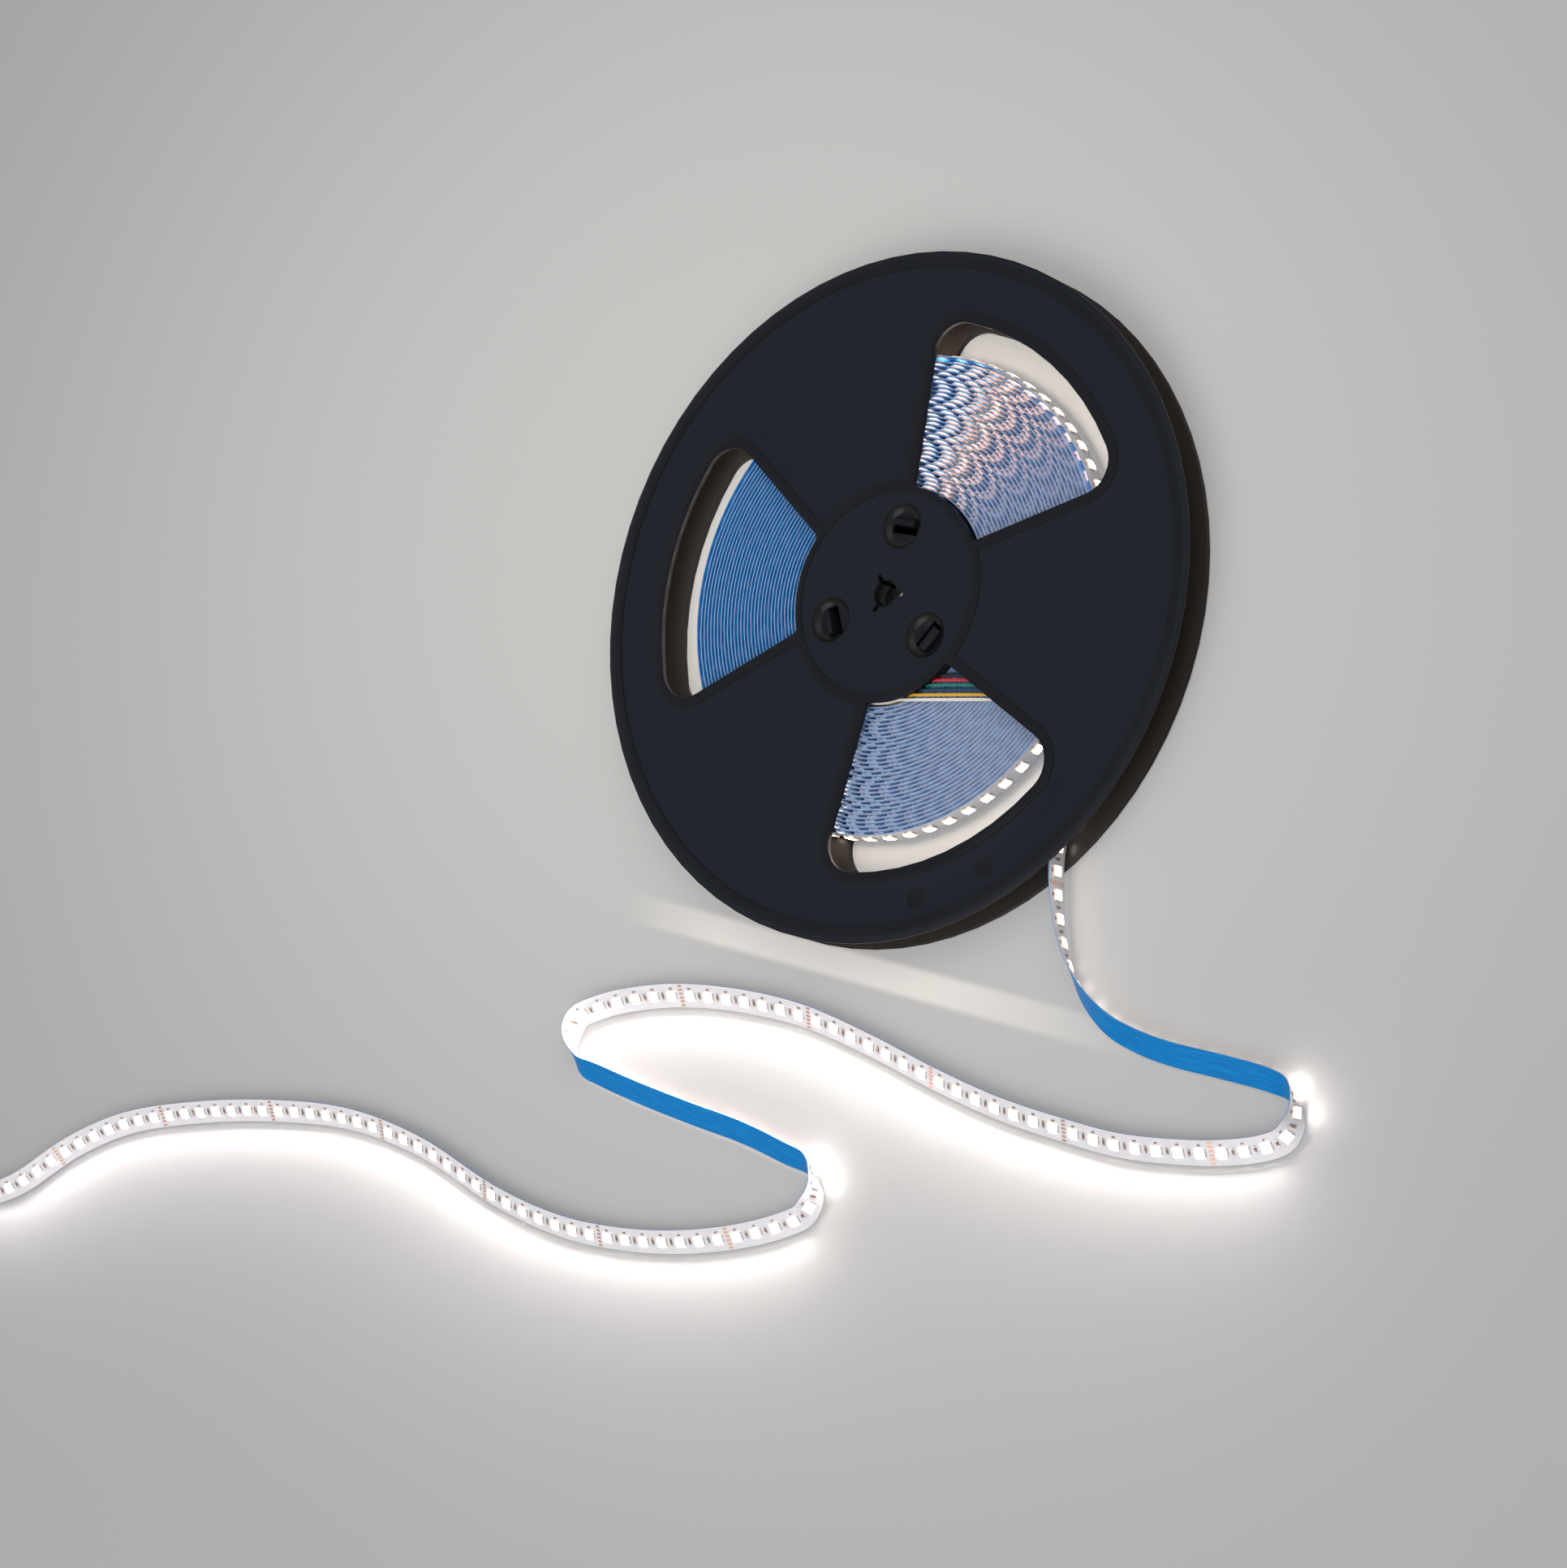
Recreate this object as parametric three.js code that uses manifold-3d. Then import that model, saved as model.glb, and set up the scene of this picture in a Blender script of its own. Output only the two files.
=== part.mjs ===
// A reel of LED strip light, lying on its rear flange: two moulded reel halves snapped together,
// the strip wound between them, its six lead wires, and the free end of the strip on the surface.
// Millimetres, +Z up. The reel's axis is Z, and the surface is at z = 0.
import * as THREE from 'three';
import { mergeVertices } from 'three/addons/utils/BufferGeometryUtils.js';
import Module from 'manifold-3d';

const wasm = await Module();
wasm.setup();

// The strip: a flat board with a liner on one face and square LEDs on the other.
const stripWidth = 12;
const stripBody = 0.6;
const stripOverLeds = 1.65;
const turnGap = 0.36;
const fullTurns = 31;
const coilStartAngle = 172.9;
const coilEndAngle = -77.4;
const lastTurnLift = 1.4;
const stepsPerTurn = 24;
const freeStepsPerPoint = 1.8;

// The lead wires at the strip's inner end. Side by side they fill the strip's width.
const leadCount = 6;
const leadSpacing = 0.24;
const leadRowGap = 0.5;
const leadGap = 0.3;
const leadDirection = -72.1;
const leadTuck = 1.2;
const leadPastHub = 30;
const leadLongestSweep = 65;
const leadClimb = 0.75;

// The moulded flanges.
const flangeRadius = 165;
const panelWall = 2;
const borderRise = 0.5;
const rimBand = 7.6;
const rimFlat = 3.1;
const rimBevel = 0.9;
const rimEdge = 1.2;
const sideGap = 0.3;
const roofGap = 0.4;
const halvesGap = 0.3;
const roundSteps = 72;

// The three windows, each between two straight sides that pass the axis at a small distance.
const windowCount = 3;
const firstWindowAngle = -18.7;
const windowOuter = 132;
const windowRing = 1.8;
const windowHalfAngle = 34.4;
const windowSideOffset = 7.1;
const windowOuterCorner = 15;
const windowInnerCorner = 2.5;
const borderWidth = 5;
const hubBandInside = 3.1;
const hubBandOutside = 1.7;

// The hub, its arbor hole with three keyways, and the three snap hooks in their cups.
const hubRadius = 50;
const hubWall = 1.8;
const arborRadius = 6.5;
const keywayReach = 10.4;
const keywayWidth = 2.4;
const keywayFromWindow = 64.6;
const sleeveWall = 3.1;
const cupFromWindow = 28.3;
const cupCentre = 32.5;
const cupRadius = 11;
const cupDepth = 3.6;
const cupFloorRadius = 7.4;
const cupFloor = 1.5;
const cupWall = 1.6;
const snapSlotAcross = 6.4;
const snapSlotAlong = 14.4;
const hookThick = 2.3;
const hookLength = 12;
const hookBarb = 1.4;
const hookBarbHeight = 0.8;
const hookTip = 1.7;
const hookRoot = 3;
const hookFlare = 1;
const snapGap = 0.3;
const ribThick = 1.6;
const ribHeight = 4.5;
const ribFromCup = 30;

// Ejector marks on the front flange.
const markRadius = 5;
const markDepth = 0.2;
const markCentre = 148;
const markAngles = [-131.8, -146.9];

const leadDiameter = (stripWidth - (leadCount - 1) * leadSpacing) / leadCount;
const flangeWall = panelWall + borderRise;
const groove = sideGap + stripWidth + leadGap + leadDiameter + roofGap;
const reelHeight = 2 * flangeWall + groove;
const midHeight = reelHeight / 2;
const turnPitch = stripOverLeds + turnGap;
const coilBase = flangeWall + sideGap;
const coilTop = coilBase + stripWidth;
const windowInner = hubRadius + windowRing;
const cutMargin = 2;
const joinDepth = 0.5;

const radians = THREE.MathUtils.degToRad;

function polar(radius, angle) {
  return new THREE.Vector2(radius * Math.cos(radians(angle)), radius * Math.sin(radians(angle)));
}

// Turns a closed three.js geometry into a manifold solid with its faces pointing out.
function solid(geometry) {
  const bare = geometry.index ? geometry.toNonIndexed() : geometry.clone();
  bare.deleteAttribute('normal');
  bare.deleteAttribute('uv');
  const merged = mergeVertices(bare, 1e-4);
  const positions = merged.attributes.position.array;
  const kept = [];
  let volume = 0;
  const a = new THREE.Vector3();
  const b = new THREE.Vector3();
  const c = new THREE.Vector3();
  for (let i = 0; i < merged.index.count; i += 3) {
    const corners = [merged.index.getX(i), merged.index.getX(i + 1), merged.index.getX(i + 2)];
    if (new Set(corners).size === 3) {
      a.fromArray(positions, 3 * corners[0]);
      b.fromArray(positions, 3 * corners[1]);
      c.fromArray(positions, 3 * corners[2]);
      volume += a.dot(b.cross(c)) / 6;
      kept.push(corners);
    }
  }
  const turned = volume < 0 ? kept.map((corners) => [corners[0], corners[2], corners[1]]) : kept;
  const mesh = new wasm.Mesh({
    numProp: 3,
    vertProperties: new Float32Array(positions),
    triVerts: new Uint32Array(turned.flat()),
  });
  return new wasm.Manifold(mesh);
}

// Turns a manifold solid back into a geometry with flat-shaded faces.
function geometryOf(shape) {
  const mesh = shape.getMesh();
  const geometry = new THREE.BufferGeometry();
  geometry.setAttribute('position', new THREE.BufferAttribute(mesh.vertProperties, 3));
  geometry.setIndex(new THREE.BufferAttribute(mesh.triVerts, 1));
  const flat = geometry.toNonIndexed();
  flat.computeVertexNormals();
  return flat;
}

// A solid of revolution about Z from [radius, height] points.
function revolve(profile, steps) {
  const points = profile.map(([radius, height]) => new THREE.Vector2(radius, height));
  const geometry = new THREE.LatheGeometry(points, steps);
  geometry.rotateX(Math.PI / 2);
  return solid(geometry);
}

function cylinder(radius, low, high, steps) {
  return revolve([[0, low], [radius, low], [radius, high], [0, high]], steps);
}

// A flat shape raised along Z from low to high.
function raise(shape, low, high, curveSegments) {
  const geometry = new THREE.ExtrudeGeometry(shape, {
    depth: high - low,
    bevelEnabled: false,
    curveSegments,
  });
  geometry.translate(0, 0, low);
  return solid(geometry);
}

function box(lengthX, lengthY, low, high) {
  const geometry = new THREE.BoxGeometry(lengthX, lengthY, high - low);
  geometry.translate(0, 0, (low + high) / 2);
  return solid(geometry);
}

// Places a solid made about the origin at a polar position, turned to face outward.
function placedAt(shape, radius, angle) {
  const centre = polar(radius, angle);
  return shape.rotate([0, 0, angle]).translate([centre.x, centre.y, 0]);
}

// Outline of a window about the X axis, grown outward by a width.
function windowOutline(grow) {
  const outer = windowOuter + grow;
  const inner = windowInner - grow;
  const offset = windowSideOffset - grow;
  const side = radians(windowHalfAngle);
  const across = new THREE.Vector2(Math.sin(side), -Math.cos(side));
  const along = new THREE.Vector2(Math.cos(side), Math.sin(side));
  const cornerCentre = (reach, radius) => {
    const depth = offset + radius;
    const run = Math.sqrt(reach * reach - depth * depth);
    return along.clone().multiplyScalar(run).addScaledVector(across, depth);
  };
  const outerRound = windowOuterCorner + grow;
  const innerRound = windowInnerCorner + grow;
  const outerCentre = cornerCentre(outer - outerRound, outerRound);
  const innerCentre = cornerCentre(inner + innerRound, innerRound);
  const outerAngle = outerCentre.angle();
  const innerAngle = innerCentre.angle();
  const sideNormal = side + Math.PI / 2;
  const shape = new THREE.Shape();
  shape.absarc(0, 0, outer, -outerAngle, outerAngle, false);
  shape.absarc(outerCentre.x, outerCentre.y, outerRound, outerAngle, sideNormal, false);
  shape.absarc(innerCentre.x, innerCentre.y, innerRound, sideNormal, Math.PI + innerAngle, false);
  shape.absarc(0, 0, inner, innerAngle, -innerAngle, true);
  shape.absarc(innerCentre.x, -innerCentre.y, innerRound, Math.PI - innerAngle, 2 * Math.PI - sideNormal, false);
  shape.absarc(outerCentre.x, -outerCentre.y, outerRound, -sideNormal, -outerAngle, false);
  return shape;
}

function windowAngle(index) {
  return firstWindowAngle + (index * 360) / windowCount;
}

// The recessed panels between the borders: the hub disc, and the outer ring with its three spokes.
function panelPockets() {
  const hubDisc = cylinder(windowInner - hubBandInside, -cutMargin, borderRise, roundSteps);
  const outerEdge = flangeRadius - rimBand;
  const innerEdge = windowInner + hubBandOutside;
  const ring = revolve([
    [innerEdge, -cutMargin],
    [outerEdge, -cutMargin],
    [outerEdge, borderRise],
    [innerEdge, borderRise],
    [innerEdge, -cutMargin],
  ], roundSteps);
  const border = raise(windowOutline(borderWidth), -2 * cutMargin, cutMargin, 4);
  let spokes = ring;
  for (let i = 0; i < windowCount; i += 1) {
    spokes = spokes.subtract(border.rotate([0, 0, windowAngle(i)]));
  }
  return hubDisc.add(spokes);
}

// The arbor hole with its keyways, through the whole half.
function arborCut() {
  let hole = cylinder(arborRadius, -cutMargin, midHeight + cutMargin, 24);
  const slot = new THREE.Shape();
  const half = keywayWidth / 2;
  slot.moveTo(0, -half);
  slot.lineTo(keywayReach - half, -half);
  slot.absarc(keywayReach - half, 0, half, -Math.PI / 2, Math.PI / 2, false);
  slot.lineTo(0, half);
  const keyway = raise(slot, -cutMargin, midHeight + cutMargin, 2);
  for (let i = 0; i < windowCount; i += 1) {
    hole = hole.add(keyway.rotate([0, 0, windowAngle(i) + keywayFromWindow]));
  }
  return hole;
}

// One moulded half with its outer face at z = 0 and its hub reaching to the middle of the reel.
function reelHalf() {
  const hubEnd = midHeight - halvesGap / 2;
  const sleeve = keywayReach + sleeveWall;
  const bevelStart = flangeRadius - rimBand + rimFlat;
  let half = revolve([
    [0, 0],
    [bevelStart, 0],
    [flangeRadius, rimBevel],
    [flangeRadius, rimBevel + rimEdge],
    [flangeRadius - 0.5, flangeWall],
    [hubRadius, flangeWall],
    [hubRadius, hubEnd],
    [hubRadius - hubWall, hubEnd],
    [hubRadius - hubWall, flangeWall],
    [sleeve, flangeWall],
    [sleeve, hubEnd],
    [0, hubEnd],
  ], roundSteps);
  const ribLength = hubRadius - hubWall - sleeve + 2 * joinDepth;
  const rib = box(ribLength, ribThick, flangeWall - joinDepth, flangeWall + ribHeight);
  for (let i = 0; i < windowCount; i += 1) {
    const ribAngle = windowAngle(i) + cupFromWindow + ribFromCup;
    half = half.add(placedAt(rib, sleeve - joinDepth + ribLength / 2, ribAngle));
  }
  half = half.subtract(panelPockets()).subtract(arborCut());
  const opening = raise(windowOutline(0), -cutMargin, flangeWall + cutMargin, 4);
  for (let i = 0; i < windowCount; i += 1) {
    half = half.subtract(opening.rotate([0, 0, windowAngle(i)]));
  }
  return half;
}

// The front half adds three dished cups, each with a slot in its floor for a snap hook.
function frontHalf() {
  const floorHeight = borderRise + cupDepth;
  const boss = revolve([
    [0, panelWall],
    [cupRadius + cupWall, panelWall],
    [cupRadius + cupWall, flangeWall],
    [cupFloorRadius + cupWall, floorHeight + cupFloor],
    [0, floorHeight + cupFloor],
  ], 28);
  const dish = revolve([
    [0, -cutMargin],
    [cupRadius, -cutMargin],
    [cupRadius, borderRise],
    [cupRadius - 0.5, borderRise + 0.35 * cupDepth],
    [(cupRadius + cupFloorRadius) / 2, borderRise + 0.72 * cupDepth],
    [cupFloorRadius, floorHeight],
    [0, floorHeight],
  ], 28);
  const slot = box(snapSlotAcross, snapSlotAlong, floorHeight - 1, floorHeight + cupFloor + 1);
  let half = reelHalf();
  for (let i = 0; i < windowCount; i += 1) {
    half = half.add(placedAt(boss, cupCentre, windowAngle(i) + cupFromWindow));
  }
  for (let i = 0; i < windowCount; i += 1) {
    const angle = windowAngle(i) + cupFromWindow;
    half = half.subtract(placedAt(dish, cupCentre, angle));
    half = half.subtract(placedAt(slot, cupCentre, angle));
  }
  for (const angle of markAngles) {
    const mark = cylinder(markRadius, -cutMargin, borderRise + markDepth, 20);
    const centre = polar(markCentre, angle);
    half = half.subtract(mark.translate([centre.x, centre.y, 0]));
  }
  return half.scale([1, 1, -1]).translate([0, 0, reelHeight]);
}

// The rear half adds the snap hooks, whose barbs lie over the cup floors of the front half.
// Under each barb the flange is open, where the mould shuts off to form the undercut.
function rearHalf() {
  const cupFloorTop = reelHeight - borderRise - cupDepth;
  const barbSeat = cupFloorTop + snapGap;
  const outside = snapSlotAcross / 2 - snapGap;
  const inside = outside - hookThick;
  const outline = new THREE.Shape();
  outline.moveTo(inside - hookFlare, flangeWall - joinDepth);
  outline.lineTo(outside, flangeWall - joinDepth);
  outline.lineTo(outside, barbSeat);
  outline.lineTo(outside + hookBarb, barbSeat);
  outline.lineTo(outside + hookBarb, barbSeat + hookBarbHeight);
  outline.lineTo(outside, barbSeat + hookBarbHeight + hookTip);
  outline.lineTo(inside, barbSeat + hookBarbHeight + hookTip);
  outline.lineTo(inside, flangeWall + hookRoot);
  outline.closePath();
  const geometry = new THREE.ExtrudeGeometry(outline, { depth: hookLength, bevelEnabled: false });
  geometry.translate(0, 0, -hookLength / 2);
  geometry.rotateX(Math.PI / 2);
  const hook = solid(geometry);
  const shutOff = box(hookBarb + snapGap, hookLength, -cutMargin, flangeWall + cutMargin);
  const shutOffCentre = cupCentre + outside + (hookBarb + snapGap) / 2;
  let half = reelHalf();
  for (let i = 0; i < windowCount; i += 1) {
    const angle = windowAngle(i) + cupFromWindow;
    half = half.add(placedAt(hook, cupCentre, angle));
    half = half.subtract(placedAt(shutOff, shutOffCentre, angle));
  }
  return half;
}

// The wound strip follows a flat spiral, clockwise from above toward its free end.
const coilTurns = fullTurns + (coilStartAngle - coilEndAngle) / 360;
const leadTurnShare = 1 - leadLongestSweep / 360;
const coilStart = hubRadius + leadDiameter + 3 * leadGap - turnPitch * leadTurnShare;

class Spiral extends THREE.Curve {
  getPoint(t, target = new THREE.Vector3()) {
    const turned = t * coilTurns;
    const lift = lastTurnLift * Math.max(0, turned - coilTurns + 1) ** 2;
    const radius = coilStart + turnPitch * turned + lift;
    const at = polar(radius, coilStartAngle - 360 * turned);
    return target.set(at.x, at.y, coilBase + stripWidth / 2);
  }

  // Even steps of angle, so that neighbouring turns have their corners on the same rays.
  getPointAt(u, target) {
    return this.getPoint(u, target);
  }

  getTangentAt(u, target) {
    return this.getTangent(u, target);
  }
}

// A strip section: X lies across the strip and becomes -Z, Y is left of the run.
function stripSection(thickness) {
  const section = new THREE.Shape();
  section.moveTo(-stripWidth / 2, 0);
  section.lineTo(stripWidth / 2, 0);
  section.lineTo(stripWidth / 2, thickness);
  section.lineTo(-stripWidth / 2, thickness);
  section.closePath();
  return section;
}

function woundStrip() {
  const steps = Math.round(coilTurns * stepsPerTurn);
  return new THREE.ExtrudeGeometry(stripSection(stripOverLeds), {
    steps,
    bevelEnabled: false,
    extrudePath: new Spiral(),
  });
}

// The free end leaves the coil between the flanges and lies in waves on the surface, resting on
// its lower edge. Each point is [x, y, height of the lower edge, lean of the upper edge away
// from the LEDs in degrees].
const freeRoute = [
  [-12.1, -121.7, 2.8, 0],
  [-49.5, -130.1, 2.8, 0],
  [-81.5, -137.2, 2.8, 0],
  [-99.9, -146, 2.7, 0],
  [-118.2, -157.6, 1.8, -12],
  [-133.1, -172.5, 0.8, -35],
  [-141.9, -191.1, 0.1, -52],
  [-143.8, -209.5, 0.1, -57],
  [-142.7, -228.8, 0.1, -58],
  [-139.6, -249.2, 0.1, -59],
  [-137.1, -266, 0.1, -59],
  [-135.5, -280.1, 0.1, -58],
  [-136, -290.9, 0.1, -49],
  [-143.6, -299.9, 0.1, 6],
  [-154.4, -299, 0.1, 53],
  [-161.6, -291.8, 0.1, 60],
  [-172.4, -271, 0.1, 60],
  [-181.5, -245.8, 0.1, 60],
  [-188.3, -221.4, 0.1, 59],
  [-192.9, -190.7, 0.1, 58],
  [-196.6, -154, 0.1, 58],
  [-197, -114.7, 0.1, 57],
  [-195.7, -73.6, 0.1, 57],
  [-196.7, -32.5, 0.1, 58],
  [-202.9, 4.4, 0.1, 59],
  [-213.1, 40.1, 0.1, 60],
  [-225.1, 67.3, 0.1, 60],
  [-236.7, 86.2, 0.1, 60],
  [-244.9, 94.3, 0.1, 50],
  [-256.6, 91.9, 0.1, -3],
  [-265.3, 83.1, 0.1, -48],
  [-265.5, 70.5, 0.1, -57],
  [-264.5, 43.6, 0.1, -58],
  [-262, 9, 0.1, -58],
  [-258.9, -24.6, 0.1, -58],
  [-258.6, -52.6, 0.1, -57],
  [-258.7, -66.1, 0.1, -51],
  [-266.8, -76.8, 0.1, 3],
  [-279, -75.6, 0.1, 54],
  [-287.8, -66.6, 0.1, 60],
  [-301.9, -45.8, 0.1, 60],
  [-318.1, -13.7, 0.1, 60],
  [-330.6, 21.1, 0.1, 60],
  [-339.1, 58.9, 0.1, 59],
  [-341.4, 103.8, 0.1, 57],
  [-337.6, 159.5, 0.1, 57],
  [-342.7, 212.2, 0.1, 59],
  [-359.2, 266.7, 0.1, 60],
  [-380.1, 317.5, 0.1, 60],
  [-402.1, 359.1, 0.1, 60],
  [-428.1, 390.6, 0.1, 59],
  [-461, 419.8, 0.1, 59],
  [-480.3, 448.3, 0.1, 60],
];

// The points set the spacing of the steps, so tight bends get short ones.
class PointRun extends THREE.CatmullRomCurve3 {
  getPointAt(u, target) {
    return this.getPoint(u, target);
  }

  getTangentAt(u, target) {
    return this.getTangent(u, target);
  }
}

// A band along the points: a straight face for the liner on the line, the LED face beside it.
function leaningBand(run, leans, thickness, steps) {
  const corners = [];
  for (let i = 0; i <= steps; i += 1) {
    const share = (i / steps) * (leans.length - 1);
    const before = Math.min(Math.floor(share), leans.length - 2);
    const lean = radians(THREE.MathUtils.lerp(leans[before], leans[before + 1], share - before));
    const middle = run.getPoint(i / steps);
    const heading = run.getTangent(i / steps).setZ(0).normalize();
    const level = new THREE.Vector3(-heading.y, heading.x, 0);
    const face = level.clone().multiplyScalar(Math.cos(lean)).setZ(Math.sin(lean));
    const across = level.multiplyScalar(-Math.sin(lean)).setZ(Math.cos(lean));
    for (const [out, side] of [[0, -0.5], [thickness, -0.5], [thickness, 0.5], [0, 0.5]]) {
      const corner = middle.clone().addScaledVector(face, out);
      corners.push(...corner.addScaledVector(across, side * stripWidth).toArray());
    }
  }
  const faces = [0, 1, 2, 0, 2, 3];
  for (let i = 0; i < steps; i += 1) {
    for (let k = 0; k < 4; k += 1) {
      const [a, b] = [4 * i + k, 4 * i + ((k + 1) % 4)];
      faces.push(a, a + 4, b + 4, a, b + 4, b);
    }
  }
  const last = 4 * steps;
  faces.push(last, last + 2, last + 1, last, last + 3, last + 2);
  const band = new THREE.BufferGeometry();
  band.setAttribute('position', new THREE.Float32BufferAttribute(corners, 3));
  band.setIndex(faces);
  return band;
}

function freeStrip() {
  const spiral = new Spiral();
  const end = spiral.getPoint(1);
  const heading = spiral.getTangent(1);
  const start = end.clone().addScaledVector(heading, sideGap);
  const points = freeRoute.map(([x, y, low, lean]) => {
    const rise = (stripWidth / 2) * Math.cos(radians(lean));
    const tuck = stripBody * Math.max(0, -Math.sin(radians(lean)));
    return new THREE.Vector3(x, y, low + rise + tuck);
  });
  const leans = [0, ...freeRoute.map((point) => point[3])];
  const run = new PointRun([start, ...points], false, 'centripetal');
  return leaningBand(run, leans, stripBody, Math.round(freeStepsPerPoint * points.length));
}

// A lead runs along the hub from the strip's inner end, then climbs over the coil and
// crosses it in a straight line. The lead in the highest place leaves the hub first.
function leadRoute(index) {
  const runRadius = hubRadius + leadGap + leadDiameter / 2;
  const place = (leadCount - 1) / 2 - index;
  const padHeight = coilBase + stripWidth / 2 + (leadDiameter + leadSpacing) * place;
  const crossHeight = coilTop + leadGap + leadDiameter / 2;
  const offset = runRadius - leadTuck - (leadDiameter + leadRowGap) * index;
  const leadEnd = hubRadius + leadPastHub;
  const crossing = Math.sqrt((runRadius + leadGap) ** 2 - offset ** 2);
  const leave = leadDirection - THREE.MathUtils.radToDeg(Math.atan2(offset, crossing));
  const start = coilStartAngle - 360 + THREE.MathUtils.radToDeg(sideGap / runRadius);
  const hugSteps = Math.ceil((leave - start) / 6);
  const points = [];
  for (let i = 0; i <= hugSteps; i += 1) {
    const angle = start + ((leave - start) * i) / hugSteps;
    const at = polar(runRadius, angle);
    const height = Math.max(padHeight, crossHeight - leadClimb * (leave - angle));
    points.push(new THREE.Vector3(at.x, at.y, height));
  }
  const along = polar(1, leadDirection);
  const aside = polar(1, leadDirection - 90);
  for (const reach of [crossing + 4, crossing + 9, (crossing + leadEnd) / 2, leadEnd]) {
    const x = along.x * reach + aside.x * offset;
    const y = along.y * reach + aside.y * offset;
    points.push(new THREE.Vector3(x, y, crossHeight));
  }
  return points;
}

function lead(index) {
  const section = new THREE.Shape();
  section.absarc(0, 0, leadDiameter / 2, 0, 2 * Math.PI, false);
  const points = leadRoute(index);
  return new THREE.ExtrudeGeometry(section, {
    steps: points.length - 1,
    curveSegments: 4,
    bevelEnabled: false,
    extrudePath: new PointRun(points, false, 'centripetal'),
  });
}

function material(color, roughness) {
  return new THREE.MeshStandardMaterial({ color, roughness, metalness: 0 });
}

const group = new THREE.Group();

function addPart(name, shape, look) {
  const mesh = new THREE.Mesh(geometryOf(shape), look);
  mesh.name = name;
  group.add(mesh);
}

addPart('rear_flange', rearHalf(), material('#24262c', 0.5));
addPart('front_flange', frontHalf(), material('#26282f', 0.5));
addPart('wound_strip', solid(woundStrip()), material('#8fa3bd', 0.6));
addPart('free_strip', solid(freeStrip()), material('#f2efe9', 0.6));

const leads = [
  ['lead_white', '#eeeae2'],
  ['lead_yellow', '#e0ad3c'],
  ['lead_blue', '#123f5e'],
  ['lead_green', '#1f7a72'],
  ['lead_red', '#cf3038'],
  ['lead_black', '#1a1d22'],
];
leads.forEach(([name, color], index) => {
  addPart(name, solid(lead(index)), material(color, 0.45));
});

export default group;
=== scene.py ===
# %% [markdown]
# A reel of LED strip light, lying flat, with the free end of its strip in waves beside it.
#
# The imported CAD model is loaded first and stays as it is: it says where every piece goes. The
# cells below put detailed pieces in place of CAD nodes, whose own meshes are then hidden. The
# order is the order of work at the bench: frame, camera and loose strip first, then the wound
# strip, its small parts, the moulded reel, the lead wires, and last the floor and the lamps.

# %% Load the frame
import math
import bpy
import numpy as np
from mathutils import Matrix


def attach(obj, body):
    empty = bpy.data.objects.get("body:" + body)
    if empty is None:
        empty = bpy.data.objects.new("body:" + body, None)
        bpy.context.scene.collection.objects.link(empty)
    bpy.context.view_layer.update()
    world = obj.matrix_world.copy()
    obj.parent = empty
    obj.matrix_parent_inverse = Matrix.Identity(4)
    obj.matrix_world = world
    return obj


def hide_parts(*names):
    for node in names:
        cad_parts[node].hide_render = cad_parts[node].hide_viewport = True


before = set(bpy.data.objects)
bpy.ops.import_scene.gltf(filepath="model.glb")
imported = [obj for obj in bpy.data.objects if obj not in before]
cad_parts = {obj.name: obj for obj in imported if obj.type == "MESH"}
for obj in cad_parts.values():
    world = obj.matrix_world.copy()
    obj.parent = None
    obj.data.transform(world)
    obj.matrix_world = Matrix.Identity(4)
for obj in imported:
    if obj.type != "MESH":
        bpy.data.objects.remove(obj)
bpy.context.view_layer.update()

print("CAD nodes:", sorted(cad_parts))

# %% [markdown]
# Everything in Blender is in metres. The sizes of a reel are known in millimetres, so one small
# factor turns them, and every number below can be read as it would be on a drawing.

# %% Millimetres
MM = 0.001


def start_clean():
    """Leaves every object deselected, so an operator acts only on what is picked next."""
    if bpy.context.object and bpy.context.object.mode != "OBJECT":
        bpy.ops.object.mode_set(mode="OBJECT")
    bpy.ops.object.select_all(action="DESELECT")


def pick(*pieces):
    """Selects these pieces alone and makes the last one active."""
    start_clean()
    for piece in pieces:
        piece.select_set(True)
    bpy.context.view_layer.objects.active = pieces[-1]


start_clean()
print("One unit of the drawing is", MM, "m")

# %% [markdown]
# The camera stands where the photograph's did, counted in the reel's own frame: a long lens
# about two metres away that looks down on the face. The photograph shows the reel set on its
# rim. This one lies flat, as it rests by itself, so the camera is rolled until the reel stands
# in the picture as it does there. The lens is long, so the near side hardly grows against the
# far side.

# %% Camera
LENS = 100.0
SENSOR = 36.0
STAND = (-1.37, -1262.18, 1606.31)
TURNS = (13.79, 36.765, -63.272)
bpy.ops.object.camera_add(
    location=tuple(place * MM for place in STAND),
    rotation=tuple(math.radians(turn) for turn in TURNS),
)
camera = bpy.context.object
camera.name = "camera"
camera.data.sensor_fit = "HORIZONTAL"
camera.data.sensor_width = SENSOR
camera.data.lens = LENS
camera.data.clip_end = 20
bpy.context.scene.camera = camera
print("Camera turned by", TURNS, "degrees, with a", LENS, "mm lens")

# %% [markdown]
# The strip is one long band. Its path has two parts: a flat spiral on the hub, and the loose
# run on the floor. Both are the CAD routes, here in millimetres. The line is the back of the
# band, where the liner is, and the LEDs face to the left of the run, which on the spiral is
# outwards. The first turn lies on the hub and on the row of lead wires.

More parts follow.
